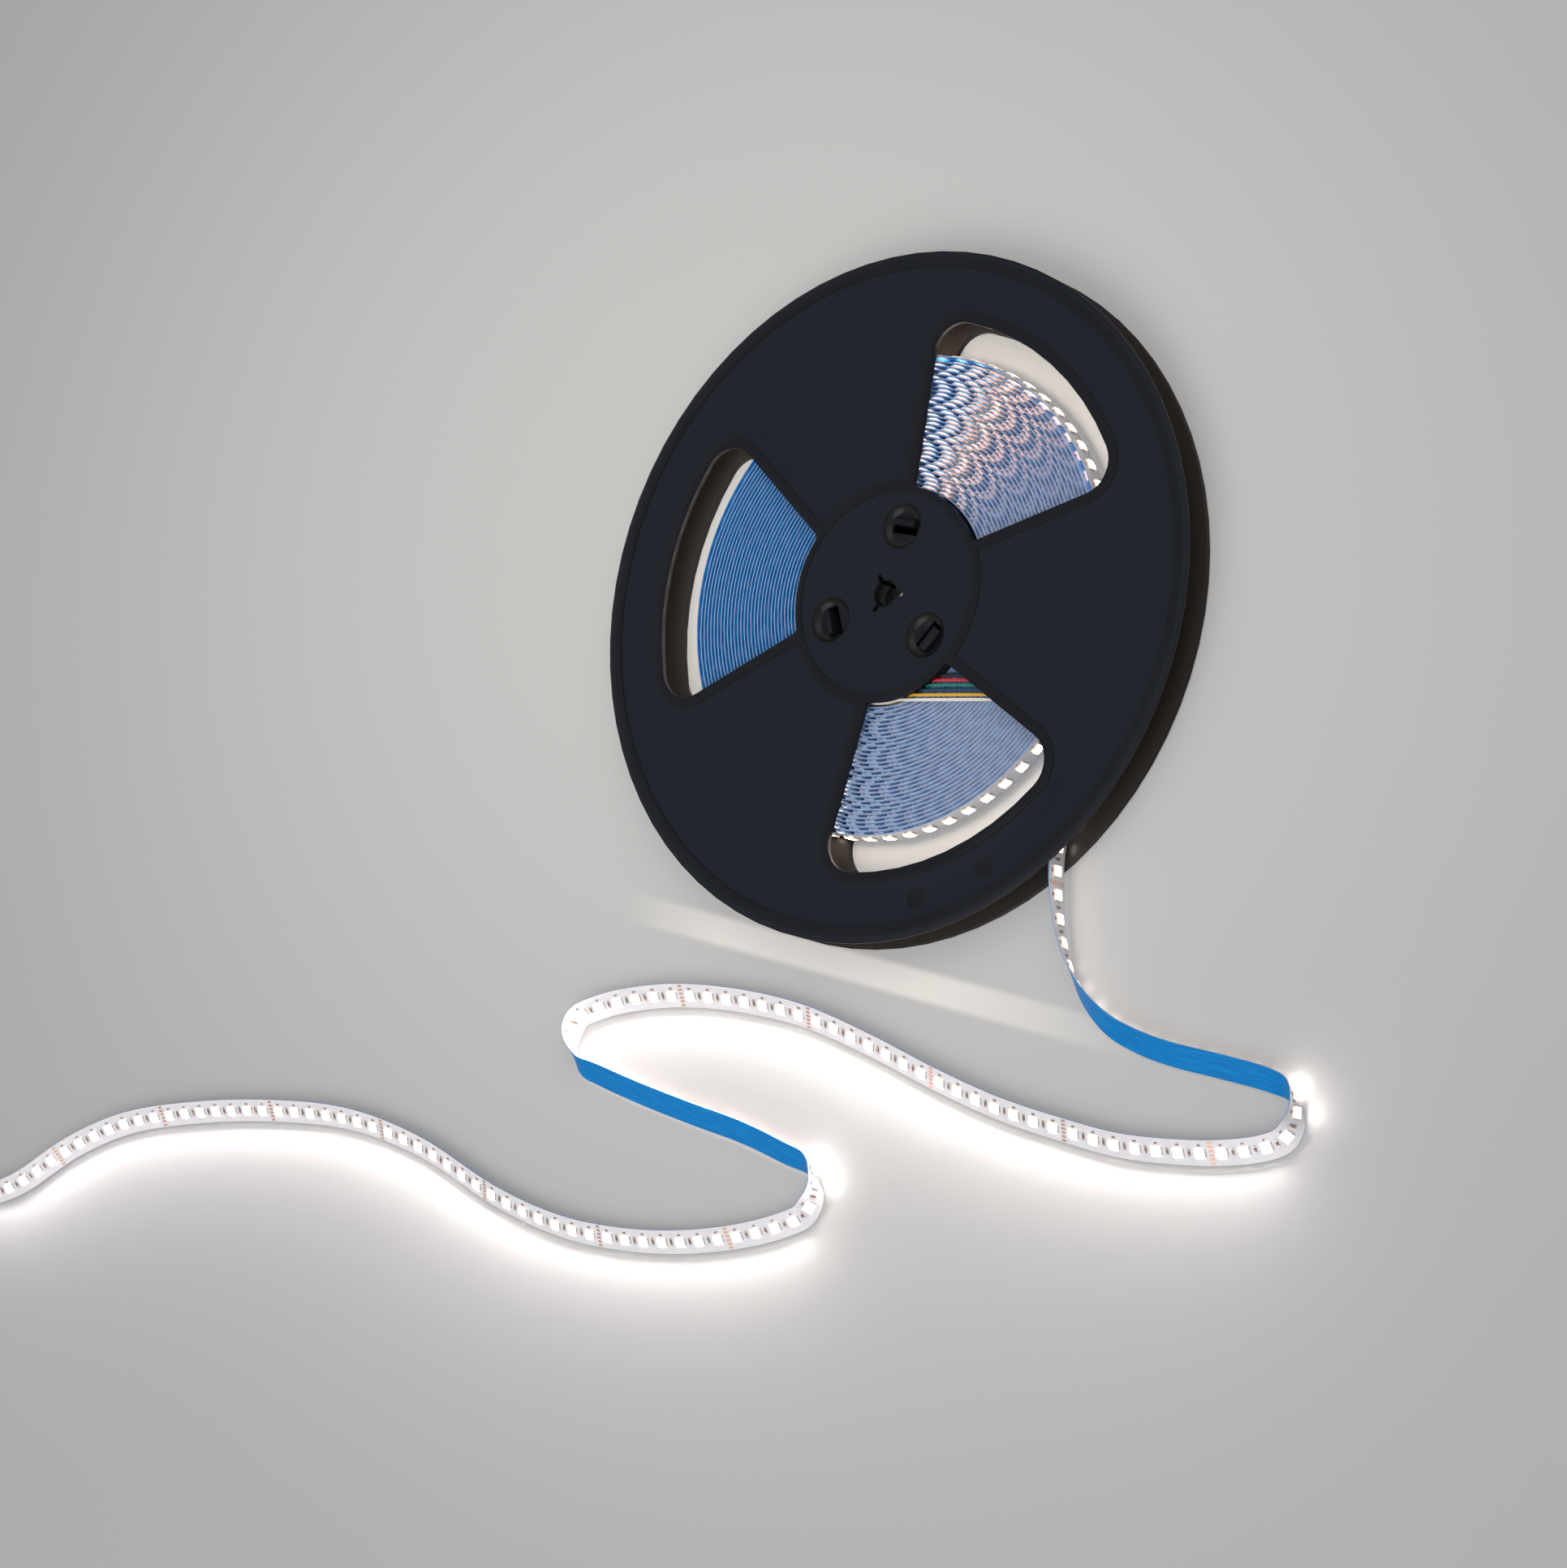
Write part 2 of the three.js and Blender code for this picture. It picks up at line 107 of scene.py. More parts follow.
# %% Sizes of the strip
STRIP_WIDTH = 12.0
LINER = 0.15
BOARD_FACE = 0.6
OVER_LEDS = 1.65
COIL_BASE = 2.8
FULL_TURNS = 31
COIL_START_ANGLE = 172.9
COIL_END_ANGLE = -77.4
COIL_TURNS = FULL_TURNS + (COIL_START_ANGLE - COIL_END_ANGLE) / 360
TURN_GAP = 0.36
TURN_PITCH = OVER_LEDS + TURN_GAP
HUB_RADIUS = 50
LEAD_THICKNESS = 1.8
LEAD_GAP = 0.3
LEAD_SWEEP = 65
COIL_START = HUB_RADIUS + LEAD_THICKNESS + 3 * LEAD_GAP - TURN_PITCH * (1 - LEAD_SWEEP / 360)
LAST_TURN_LIFT = 1.4
LEDS_PER_METRE = 90
LED_PITCH = 1000 / LEDS_PER_METRE
LEDS_IN_SECTION = 7


def spiral(turned):
    """Points of the wound strip's back face after that many turns, at mid width."""
    turned = np.asarray(turned, float)
    lift = LAST_TURN_LIFT * np.maximum(0, turned - COIL_TURNS + 1) ** 2
    radius = COIL_START + TURN_PITCH * turned + lift
    angle = np.radians(COIL_START_ANGLE - 360 * turned)
    height = np.full_like(turned, COIL_BASE + STRIP_WIDTH / 2)
    return np.stack([radius * np.cos(angle), radius * np.sin(angle), height], axis=-1)


STEPS_PER_TURN = 144
coil_line = spiral(np.linspace(0, COIL_TURNS, int(COIL_TURNS * STEPS_PER_TURN)))
wound_length = np.linalg.norm(np.diff(coil_line, axis=0), axis=1).sum()
print("Wound length:", round(wound_length / 1000, 2), "m")

# %% [markdown]
# The loose route is a list of points chosen after the photograph. A smooth curve runs
# through them, and is then averaged over a few steps each way, so that the bends stay round. The
# band leans on its lower edge. The height of its middle follows from the lean at each step, so
# that the lowest corner never goes below the floor.

# %% Route of the loose strip
# Each point is x, y, the height of the lower edge, and how far the upper edge leans away from
# the LEDs, in degrees.
LOOSE_ROUTE = [
    (-12.1, -121.7, 2.8, 0), (-49.5, -130.1, 2.8, 0), (-81.5, -137.2, 2.8, 0),
    (-99.9, -146, 2.7, 0), (-118.2, -157.6, 1.8, -12), (-133.1, -172.5, 0.8, -35),
    (-141.9, -191.1, 0.1, -52), (-143.8, -209.5, 0.1, -57), (-142.7, -228.8, 0.1, -58),
    (-139.6, -249.2, 0.1, -59), (-137.1, -266, 0.1, -59), (-135.5, -280.1, 0.1, -58),
    (-136, -290.9, 0.1, -49), (-143.6, -299.9, 0.1, 6), (-154.4, -299, 0.1, 53),
    (-161.6, -291.8, 0.1, 60), (-172.4, -271, 0.1, 60), (-181.5, -245.8, 0.1, 60),
    (-188.3, -221.4, 0.1, 59), (-192.9, -190.7, 0.1, 58), (-196.6, -154, 0.1, 58),
    (-197, -114.7, 0.1, 57), (-195.7, -73.6, 0.1, 57), (-196.7, -32.5, 0.1, 58),
    (-202.9, 4.4, 0.1, 59), (-213.1, 40.1, 0.1, 60), (-225.1, 67.3, 0.1, 60),
    (-236.7, 86.2, 0.1, 60), (-244.9, 94.3, 0.1, 50), (-256.6, 91.9, 0.1, -3),
    (-265.3, 83.1, 0.1, -48), (-265.5, 70.5, 0.1, -57), (-264.5, 43.6, 0.1, -58),
    (-262, 9, 0.1, -58), (-258.9, -24.6, 0.1, -58), (-258.6, -52.6, 0.1, -57),
    (-258.7, -66.1, 0.1, -51), (-266.8, -76.8, 0.1, 3), (-279, -75.6, 0.1, 54),
    (-287.8, -66.6, 0.1, 60), (-301.9, -45.8, 0.1, 60), (-318.1, -13.7, 0.1, 60),
    (-330.6, 21.1, 0.1, 60), (-339.1, 58.9, 0.1, 59), (-341.4, 103.8, 0.1, 57),
    (-337.6, 159.5, 0.1, 57), (-342.7, 212.2, 0.1, 59), (-359.2, 266.7, 0.1, 60),
    (-380.1, 317.5, 0.1, 60), (-402.1, 359.1, 0.1, 60), (-428.1, 390.6, 0.1, 59),
    (-461, 419.8, 0.1, 59), (-480.3, 448.3, 0.1, 60),
]


def curve_through(points, steps):
    """A smooth curve through the points that doesn't swing out between them, as in the CAD."""
    p = np.asarray(points, float)
    p = np.vstack([2 * p[0] - p[1], p, 2 * p[-1] - p[-2]])
    out = []
    for i in range(1, len(p) - 2):
        a, b, c, d = p[i - 1:i + 3]
        t0, t1, t2 = (np.linalg.norm(y - x) ** 0.5 for x, y in ((a, b), (b, c), (c, d)))
        m1 = ((b - a) / t0 - (c - a) / (t0 + t1) + (c - b) / t1) * t1
        m2 = ((c - b) / t1 - (d - b) / (t1 + t2) + (d - c) / t2) * t1
        t = np.linspace(0, 1, steps, endpoint=False)[:, None]
        out.append(b + m1 * t + (3 * (c - b) - 2 * m1 - m2) * t ** 2
                   + (2 * (b - c) + m1 + m2) * t ** 3)
    return np.vstack(out + [p[-2]])


def softened(values, reach):
    """The values averaged over this many steps each way, so that nothing turns abruptly."""
    weights = np.hanning(2 * reach + 3)[1:-1]
    ends = [np.full(reach, values[0]), values, np.full(reach, values[-1])]
    return np.convolve(np.concatenate(ends), weights / weights.sum(), "valid")


STEPS_PER_POINT = 14
LEAN_REACH = 12
LINE_REACH = 4
LOWEST = 0.05
exit_x, exit_y, _ = spiral(COIL_TURNS)
route = np.array([(exit_x, exit_y, COIL_BASE, 0)] + LOOSE_ROUTE)
loose_line = curve_through(route[:, :3], STEPS_PER_POINT)
loose_lean = np.interp(np.arange(len(loose_line)) / STEPS_PER_POINT,
                       np.arange(len(route)), route[:, 3])
loose_lean = softened(loose_lean, LEAN_REACH)
loose_line = np.stack([softened(loose_line[:, k], LINE_REACH) for k in range(3)], axis=1)
tilt = np.radians(loose_lean)
loose_line[:, 2] = np.maximum(loose_line[:, 2], LOWEST)
loose_line[:, 2] += STRIP_WIDTH / 2 * np.cos(tilt) + BOARD_FACE * np.maximum(0, -np.sin(tilt))
coil_lean = np.zeros(len(coil_line))
loose_length = np.linalg.norm(np.diff(loose_line, axis=0), axis=1).sum()
print("Loose length:", round(loose_length / 1000, 3), "m in", len(loose_line), "points")

# %% [markdown]
# A band along a path needs a frame at each point: the way it runs, the way its LEDs face, and
# the way across it. Between the flanges the strip stands upright, so the LEDs face level, a
# quarter turn to the left of the run. On the floor it twists and leans back on its lower edge,
# so the face and the way across both turn about the run by the lean.

# %% Frames along a line
def frames(line, lean):
    """Distance along the line, and at each point the run, the LEDs' facing and the way across."""
    steps = np.linalg.norm(np.diff(line, axis=0), axis=1)
    distance = np.concatenate([[0], np.cumsum(steps)])
    run = np.gradient(line, distance, axis=0)
    run[:, 2] = 0
    run /= np.linalg.norm(run, axis=1)[:, None]
    level = np.stack([-run[:, 1], run[:, 0], np.zeros(len(line))], axis=1)
    upward = np.array([0, 0, 1.0])
    tilt = np.radians(lean)[:, None]
    face = level * np.cos(tilt) + upward * np.sin(tilt)
    across = upward * np.cos(tilt) - level * np.sin(tilt)
    return distance, run, face, across


def at(line, lean, where):
    """Point, run, facing and way across at these distances along the line."""
    distance, run, face, across = frames(line, lean)
    point, *ways = [np.stack([np.interp(where, distance, v[:, k]) for k in range(3)], axis=1)
                    for v in (line, run, face, across)]
    return [point] + [way / np.linalg.norm(way, axis=1)[:, None] for way in ways]


coil_distance = frames(coil_line, coil_lean)[0]
print("The coil is", round(coil_distance[-1]), "mm long")

# %% [markdown]
# Colours are written as sRGB hex, as they are picked, and turned to the linear values
# that Blender's shaders work in. One helper adds a shader node with its settings and its
# incoming links, so that a material below reads as a list of what it is made of. Moulded and
# plated parts of one colour share a finish with a faint mottle, whose spots are counted per
# millimetre. The real mottle is finer; it is drawn as coarse as it needs to be to show.

# %% Colour and node helpers
def linear(hex_colour):
    """An sRGB hex colour as the linear RGBA that shader sockets take."""
    parts = [int(hex_colour[i:i + 2], 16) / 255 for i in (1, 3, 5)]
    return [c / 12.92 if c <= 0.04045 else ((c + 0.055) / 1.055) ** 2.4 for c in parts] + [1.0]


def add_node(tree, kind, settings=None, links=None, tones=()):
    """Adds a shader node. Settings name its properties or sockets, links sockets and sources.

    Tones are the places and linear colours of the two stops of a colour ramp.
    """
    node = tree.nodes.new("ShaderNode" + kind)
    for name, value in (settings or {}).items():
        if isinstance(name, str) and hasattr(node, name) and name not in node.inputs:
            setattr(node, name, value)
        else:
            node.inputs[name].default_value = value
    for name, source in (links or {}).items():
        tree.links.new(source, node.inputs[name])
    if tones:
        for stop, (place, colour) in zip(node.color_ramp.elements, tones):
            stop.position, stop.color = place, colour
    return node


def new_material(name, **shader):
    """A material with one Principled shader, whose sockets are set straight away."""
    material = bpy.data.materials.new(name)
    material.use_nodes = True
    tree = material.node_tree
    bsdf = tree.nodes["Principled BSDF"]
    for socket, value in shader.items():
        bsdf.inputs[socket.replace("_", " ")].default_value = value
    return material, tree, bsdf


MIX_LOW, MIX_HIGH, MIX_COLOUR = 6, 7, 2


def plain(name, colour, spots_per_mm=0.9, shade=0.88, **shader):
    """A material of one colour broken up by a faint mottle, as moulded or plated parts are."""
    material, tree, bsdf = new_material(name, **shader)
    where = add_node(tree, "TexCoord")
    noise = add_node(tree, "TexNoise", {"Scale": spots_per_mm / MM, "Detail": 2.0},
                     {"Vector": where.outputs["Object"]})
    base = linear(colour)
    tint = add_node(tree, "ValToRGB", links={"Fac": noise.outputs["Fac"]},
                    tones=[(0, [c * shade for c in base[:3]] + [1]), (1, base)])
    tree.links.new(tint.outputs["Color"], bsdf.inputs["Base Color"])
    return material


print("Liner blue in linear light:", [round(c, 3) for c in linear("#0086cf")[:3]])

# %% [markdown]
# A white LED strip is a flexible polyimide board under white solder mask. Its back carries an
# adhesive tape with a blue liner. Seen edge on there are two layers: a hair of blue and the
# paler cut edge of the board. The ribbon below is one closed band with those faces, so each
# can take its own material, and a UV map that runs in metres along and across it.

# %% Strip materials
def drawn(name, tones, per_mm, detail, **shader):
    """A material whose two tones run along the strip. Its marks are counted per millimetre."""
    material, tree, bsdf = new_material(name, **shader)
    uv = add_node(tree, "UVMap", {"uv_map": "along"})
    marks = add_node(tree, "Mapping", {"Scale": (per_mm[0] / MM, per_mm[1] / MM, 1)},
                     {"Vector": uv.outputs["UV"]})
    noise = add_node(tree, "TexNoise", {"Scale": 1.0, "Detail": detail},
                     {"Vector": marks.outputs[0]})
    tint = add_node(tree, "ValToRGB", links={"Fac": noise.outputs["Fac"]},
                    tones=[(place, linear(colour)) for place, colour in tones])
    tree.links.new(tint.outputs["Color"], bsdf.inputs["Base Color"])
    return material


STRIP_MATERIALS = [
    # Siliconed film: an even strong blue with a soft sheen, and faint draw lines about 17 mm
    # long and 1 mm wide.
    drawn("blue_release_liner", [(0.3, "#0070b6"), (0.7, "#0086cf")], (0.06, 0.9), 4.0,
          Roughness=0.42, IOR=1.48, Specular_IOR_Level=0.2),
    # Polyimide where the punch cut it: a thin pale line, a little blue. Its fibres are drawn
    # some 1.4 mm apart, far coarser than they are, so that they show.
    drawn("punched_board_edge", [(0, "#7285ab"), (1, "#b9c6de")], (0.7, 0.7), 3.0,
          Roughness=0.55, IOR=1.5),
    # Cured lacquer over the copper: a clean cool white that shows the tracks as faint bands,
    # about as long as one LED's place and 0.7 mm wide.
    drawn("white_solder_mask", [(0, "#d9d6dc"), (1, "#e9e6ea")], (0.09, 1.5), 2.0,
          Roughness=0.32, IOR=1.52),
]
print("Strip materials:", [m.name for m in STRIP_MATERIALS])

# %% [markdown]
# The band is made in mesh code: a closed section is repeated at every point of the line. The
# section has six sides, so that the liner's own thin edge keeps the liner's blue. Each corner is
# given by how far it stands off the back and on which edge it lies.

# %% Ribbon
SECTION = [(0, -1), (LINER, -1), (BOARD_FACE, -1), (BOARD_FACE, 1), (LINER, 1), (0, 1)]
TAPE, EDGE, MASK = range(3)
SECTION_MATERIAL = [TAPE, EDGE, MASK, EDGE, TAPE, TAPE]
RIBBON_CORNER = 35


def ribbon(name, line, lean):
    """A closed band along the line: liner on the line itself, LED side to its left."""
    distance, run, face, across = frames(line, lean)
    rings = []
    for out, side in SECTION:
        rings.append(line + face * out + across * side * STRIP_WIDTH / 2)
    points = np.stack(rings, axis=1).reshape(-1, 3) * MM
    count, sides = len(line), len(SECTION)
    faces, looks, uvs = [], [], []
    side_of = [(side + 1) // 2 for _, side in SECTION]
    for i in range(count - 1):
        for k in range(sides):
            n = (k + 1) % sides
            here, ahead = i * sides, (i + 1) * sides
            faces.append((here + k, here + n, ahead + n, ahead + k))
            looks.append(SECTION_MATERIAL[k])
            for step, corner in ((i, k), (i, n), (i + 1, n), (i + 1, k)):
                uvs.append((distance[step] * MM, side_of[corner] * STRIP_WIDTH * MM))
    for first, order in ((0, range(sides - 1, -1, -1)), ((count - 1) * sides, range(sides))):
        faces.append(tuple(first + k for k in order))
        looks.append(EDGE)
        uvs += [(0, 0)] * sides
    mesh = bpy.data.meshes.new(name)
    mesh.from_pydata(points.tolist(), [], faces)
    layer = mesh.uv_layers.new(name="along")
    layer.data.foreach_set("uv", np.array(uvs, np.float32).ravel())
    mesh.polygons.foreach_set("material_index", looks)
    for material in STRIP_MATERIALS:
        mesh.materials.append(material)
    piece = bpy.data.objects.new(name, mesh)
    bpy.context.collection.objects.link(piece)
    pick(piece)
    bpy.ops.object.mode_set(mode="EDIT")
    bpy.ops.mesh.select_all(action="SELECT")
    bpy.ops.mesh.normals_make_consistent(inside=False)
    bpy.ops.object.mode_set(mode="OBJECT")
    bpy.ops.object.shade_smooth_by_angle(angle=math.radians(RIBBON_CORNER))
    return piece


loose_board = ribbon("loose_board", loose_line, loose_lean)
wound_board = ribbon("wound_board", coil_line, coil_lean)
print("Faces:", len(loose_board.data.polygons), "loose,", len(wound_board.data.polygons), "wound")

# %% [markdown]
# The light comes from phosphor gel over a small chip. The gel has five looks here, with strengths
# chosen to match the photograph. LEDs that face the lens burn out to white and light the floor,
# those in a bend are weaker, those on the reel's outer turn weaker still, and the rest are only
# a little brighter than what is round them. In the depth of the coil the white packages get a
# painted glow as well, for the light each takes in from its neighbours; the frames of the other
# LEDs have a faint painted glow too.

# %% LED materials
# Moulded white plastic: a matt frame with a faint warm painted glow, for the light that comes
# through it.
LED_FRAME = plain("white_led_package", "#f4f1ea", Roughness=0.4,
                  Emission_Color=linear("#ffdfc2"), Emission_Strength=0.55)
# Reflowed tin: small bright grey glints on both sides of a package.
SOLDER = plain("tinned_solder", "#b9bcc0", Metallic=1.0, Roughness=0.3)
# Side of the coil where the packages' painted glow is warm and strong; across the coil it is
# weaker and cooler.
WARM_SIDE = (0.892, 0.453, 0)
COOL_UP_TO, WARM_FROM = -0.04, 0.06


def phosphor(name, colour, strength):
    """Yellow phosphor gel in clear silicone, lit from below by its chip."""
    return new_material(name, Base_Color=linear("#ffe9b8"), Roughness=0.5,
                        Emission_Color=linear(colour), Emission_Strength=strength)[0]


def lit_package():
    """Painted glow of a white package lit through: warm on one side of the coil, weaker and
    cooler on the other.
    """
    material, tree, bsdf = new_material(
        "glowing_led_package", Base_Color=linear("#f2efe8"), Roughness=0.4)
    where = add_node(tree, "TexCoord")
    ahead = add_node(tree, "VectorMath", {"operation": "DOT_PRODUCT", 1: WARM_SIDE},
                     {0: where.outputs["Object"]})
    span = {"From Min": COOL_UP_TO, "From Max": WARM_FROM}
    strength = add_node(tree, "MapRange", {**span, "To Min": 0.3, "To Max": 1.0},
                        {"Value": ahead.outputs["Value"]})
    share = add_node(tree, "MapRange", span, {"Value": ahead.outputs["Value"]})
    tint = add_node(tree, "ValToRGB", links={"Fac": share.outputs[0]},
                    tones=[(0, linear("#cfe0ff")), (1, linear("#ffbc94"))])
    tree.links.new(tint.outputs["Color"], bsdf.inputs["Emission Color"])
    tree.links.new(strength.outputs[0], bsdf.inputs["Emission Strength"])
    return material


BRIGHT = phosphor("bright_phosphor", "#fff4f2", 560.0)
TURNING = phosphor("turning_phosphor", "#fff4f2", 60.0)
LIT = phosphor("lit_phosphor", "#fff2e6", 25.0)
DIM = phosphor("dim_phosphor", "#fff4f2", 7.0)
SHADED = phosphor("shaded_phosphor", "#fff0e4", 7.0)
GLOWING = lit_package()
print("Strengths of light:", [m.name for m in (BRIGHT, TURNING, LIT, DIM, SHADED)])

# %% [markdown]
# The LED is a 5 mm square package: a white plastic frame round a square well with cut corners,
# filled with the gel, and solder legs on the two sides that face along the strip. It is modelled
# once, as by hand, at the origin: X runs along the strip, Y stands off the board, and Z lies
# across it. Only a few dozen faces are spent, because the reel carries well over a thousand.

# %% One LED
LED_SIZE = 5.0
LED_HEIGHT = OVER_LEDS - BOARD_FACE
FRAME_WALL = 0.35
FRAME_DISH = 0.12
WELL = 4.5
WELL_CORNER = 0.9
WELL_DEPTH = 0.05
LEG_HEIGHT = 0.4
LEG_REACH = 0.8
LEG_INSET = 1.2
FACES_OUT = 0.9


def block(size, centre):
    """A box of this size about this centre, with both written into its mesh."""
    start_clean()
    bpy.ops.mesh.primitive_cube_add(size=1, location=centre)
    piece = bpy.context.object
    piece.scale = size
    bpy.ops.object.transform_apply(location=True, rotation=True, scale=True)
    return piece


def model_led(name, frame_look, well_look):
    """One LED package with its back on the board's face."""
    body = block((LED_SIZE, LED_HEIGHT, LED_SIZE), (0, LED_HEIGHT / 2, 0))
    for face in body.data.polygons:
        face.select = face.normal.y > FACES_OUT
    bpy.ops.object.mode_set(mode="EDIT")
    bpy.ops.mesh.select_mode(type="FACE")
    bpy.ops.mesh.inset(thickness=FRAME_WALL)
    bpy.ops.transform.translate(value=(0, -FRAME_DISH, 0))
    bpy.ops.object.mode_set(mode="OBJECT")
    body.data.materials.append(frame_look)
    start_clean()
    bpy.ops.mesh.primitive_plane_add(size=WELL, location=(0, LED_HEIGHT - WELL_DEPTH, 0),
                                     rotation=(-math.pi / 2, 0, 0))
    well = bpy.context.object
    bpy.ops.object.mode_set(mode="EDIT")
    bpy.ops.mesh.select_all(action="SELECT")
    bpy.ops.mesh.bevel(offset=WELL_CORNER, affect="VERTICES")
    bpy.ops.object.mode_set(mode="OBJECT")
    bpy.ops.object.transform_apply(location=True, rotation=True, scale=True)
    well.data.materials.append(well_look)
    legs = block((LED_SIZE + LEG_REACH, LEG_HEIGHT, LED_SIZE - LEG_INSET), (0, LEG_HEIGHT / 2, 0))
    legs.data.materials.append(SOLDER)
    pick(well, legs, body)
    bpy.ops.object.join()
    body.name = name
    return body


bright_led_pattern = model_led("bright_led_pattern", LED_FRAME, BRIGHT)
turning_led_pattern = model_led("turning_led_pattern", LED_FRAME, TURNING)
dim_led_pattern = model_led("dim_led_pattern", LED_FRAME, DIM)
led_pattern = model_led("led_pattern", LED_FRAME, LIT)
inner_led_pattern = model_led("inner_led_pattern", GLOWING, SHADED)
print("One LED has", len(led_pattern.data.polygons), "faces")

# %% [markdown]
# One function stamps a small pattern along the strip. Each copy is turned to the strip's run at
# its own place, and all copies become one mesh, so a thousand LEDs are still one object.

# %% Stamp a pattern along a line
def stamp(name, pattern, line, lean, where):
    """Copies of the pattern at these distances along the line, as one piece."""
    point, run, face, across = at(line, lean, where)
    mesh = pattern.data
    count = len(mesh.vertices)
    local = np.zeros(count * 3)
    mesh.vertices.foreach_get("co", local)
    local = local.reshape(-1, 3)
    placed = (point[:, None, :] + face[:, None, :] * (local[None, :, 1:2] + BOARD_FACE)
              + run[:, None, :] * -local[None, :, 0:1] + across[:, None, :] * local[None, :, 2:3])
    corners = [tuple(p.vertices) for p in mesh.polygons]
    faces = [tuple(v + k * count for v in face) for k in range(len(where)) for face in corners]
    looks = [p.material_index for p in mesh.polygons] * len(where)
    made = bpy.data.meshes.new(name)
    made.from_pydata((placed.reshape(-1, 3) * MM).tolist(), [], faces)
    made.polygons.foreach_set("material_index", looks)
    for material in mesh.materials:
        made.materials.append(material)
    piece = bpy.data.objects.new(name, made)
    bpy.context.collection.objects.link(piece)
    return piece


print("A pattern stands", BOARD_FACE, "mm off the strip's back")

# %% [markdown]
# The LEDs follow one another at an even pitch over the whole strip. How bright one is depends on
# how it faces. Where the band leans far back, its LEDs look up into the lens. In the two bends
# on the right of the picture they are on their way there. The other loose ones face away or have
# only just left the reel. On the reel, the outer turn is the one whose LEDs show whole.

# %% Where the LEDs sit
FIRST_LED = 4.0
LAST_LED = 4
INNERMOST_LED = 5
GLOW_FROM = 250
FACING_LEAN = 54
loose_leds_at = np.arange(FIRST_LED, loose_length - LAST_LED, LED_PITCH)
wound_leds_at = np.arange(coil_distance[-1] + FIRST_LED - LED_PITCH, INNERMOST_LED, -LED_PITCH)
lean_there = np.interp(loose_leds_at, frames(loose_line, loose_lean)[0], loose_lean)
spot = at(loose_line, loose_lean, loose_leds_at)[0]
past_exit = loose_leds_at > GLOW_FROM
glows = past_exit & (lean_there > FACING_LEAN)
turns = past_exit & (abs(lean_there) <= FACING_LEAN) & (spot[:, 1] < 0)
glowing_leds = stamp("glowing_leds", bright_led_pattern, loose_line, loose_lean,
                     loose_leds_at[glows])
turning_leds = stamp("turning_leds", turning_led_pattern, loose_line, loose_lean,
                     loose_leds_at[turns])
loose_leds = stamp("loose_leds", dim_led_pattern, loose_line, loose_lean,
                   loose_leds_at[~glows & ~turns])
last_turn_from = coil_distance[int(round((COIL_TURNS - 1) / COIL_TURNS * (len(coil_line) - 1)))]
on_last_turn = wound_leds_at > last_turn_from
outer_leds = stamp("outer_leds", led_pattern, coil_line, coil_lean, wound_leds_at[on_last_turn])
wound_leds = stamp("wound_leds", inner_led_pattern, coil_line, coil_lean,
                   wound_leds_at[~on_last_turn])
print(len(loose_leds_at), "LEDs on the loose strip,", len(wound_leds_at), "on the reel")

# %% [markdown]
# Chip resistors set the current. In the photograph there is a small flat one at each LED, close
# to the edge of the board, and a larger one standing between the LEDs of a section. Each is a
# brown ceramic body with two tinned ends. X runs along the strip here too, and Z across it.

# %% Chip resistors
# Glazed ceramic: a small brown speck beside the bright gel.
CERAMIC = plain("resistor_ceramic", "#8a6748", Roughness=0.5)
BODY_SHARE = 0.26
END_SHARE = 0.27


def model_chip(name, long, wide, high, across, upright):
    """A chip part on the board's face: body in the middle, tinned ends on its long axis."""
    size = (wide, high, long) if upright else (long, high, wide)
    chip = block(size, (0, high / 2, across))
    axis = 2 if upright else 0
    bpy.ops.object.mode_set(mode="EDIT")
    for side in (-1, 1):
        bpy.ops.mesh.select_all(action="SELECT")
        cut, normal = [0, 0, across], [0, 0, 0]
        cut[axis] += side * long * BODY_SHARE
        normal[axis] = 1
        bpy.ops.mesh.bisect(plane_co=cut, plane_no=normal)
    bpy.ops.object.mode_set(mode="OBJECT")
    chip.data.materials.append(CERAMIC)
    chip.data.materials.append(SOLDER)
    for face in chip.data.polygons:
        along = face.center[axis] - (across if upright else 0)
        face.material_index = 1 if abs(along) > long * END_SHARE else 0
    chip.name = name
    return chip


small_chip = model_chip("small_chip_pattern", long=1.8, wide=0.6, high=0.4, across=3.6,
                        upright=False)
large_chip = model_chip("large_chip_pattern", long=3.4, wide=1.0, high=0.5, across=0.2,
                        upright=True)
print("Chips have", len(small_chip.data.polygons), "and", len(large_chip.data.polygons), "faces")

# %% [markdown]
# Every seventh gap between LEDs is a cut mark instead: a column of bare copper pads, where
# the strip may be cut and new leads soldered on. A resistor never stands there. On the reel the
# coil hides all but the outer edge of the board, so it only gets the small chips, and their brown
# is painted a dull pink, as painted light for the LED light that falls on them.

# %% Cut marks and where each part goes
CUT_GAP = 3
PADS = 6
PAD_PITCH = 1.95
PAD_SIZE = (2.2, 0.06, 1.0)
# Bare copper: a warm, slightly shiny line across the white board.
COPPER = plain("bare_copper_pad", "#e6b697", Metallic=1.0, Roughness=0.35)


def model_pads():
    """A column of pads, each on both sides of the cutting line."""
    pads = [block(PAD_SIZE, (0, PAD_SIZE[1] / 2, (k - (PADS - 1) / 2) * PAD_PITCH))
            for k in range(PADS)]
    pick(*pads)
    bpy.ops.object.join()
    column = bpy.context.object
    column.data.materials.append(COPPER)
    column.name = "pad_pattern"
    return column


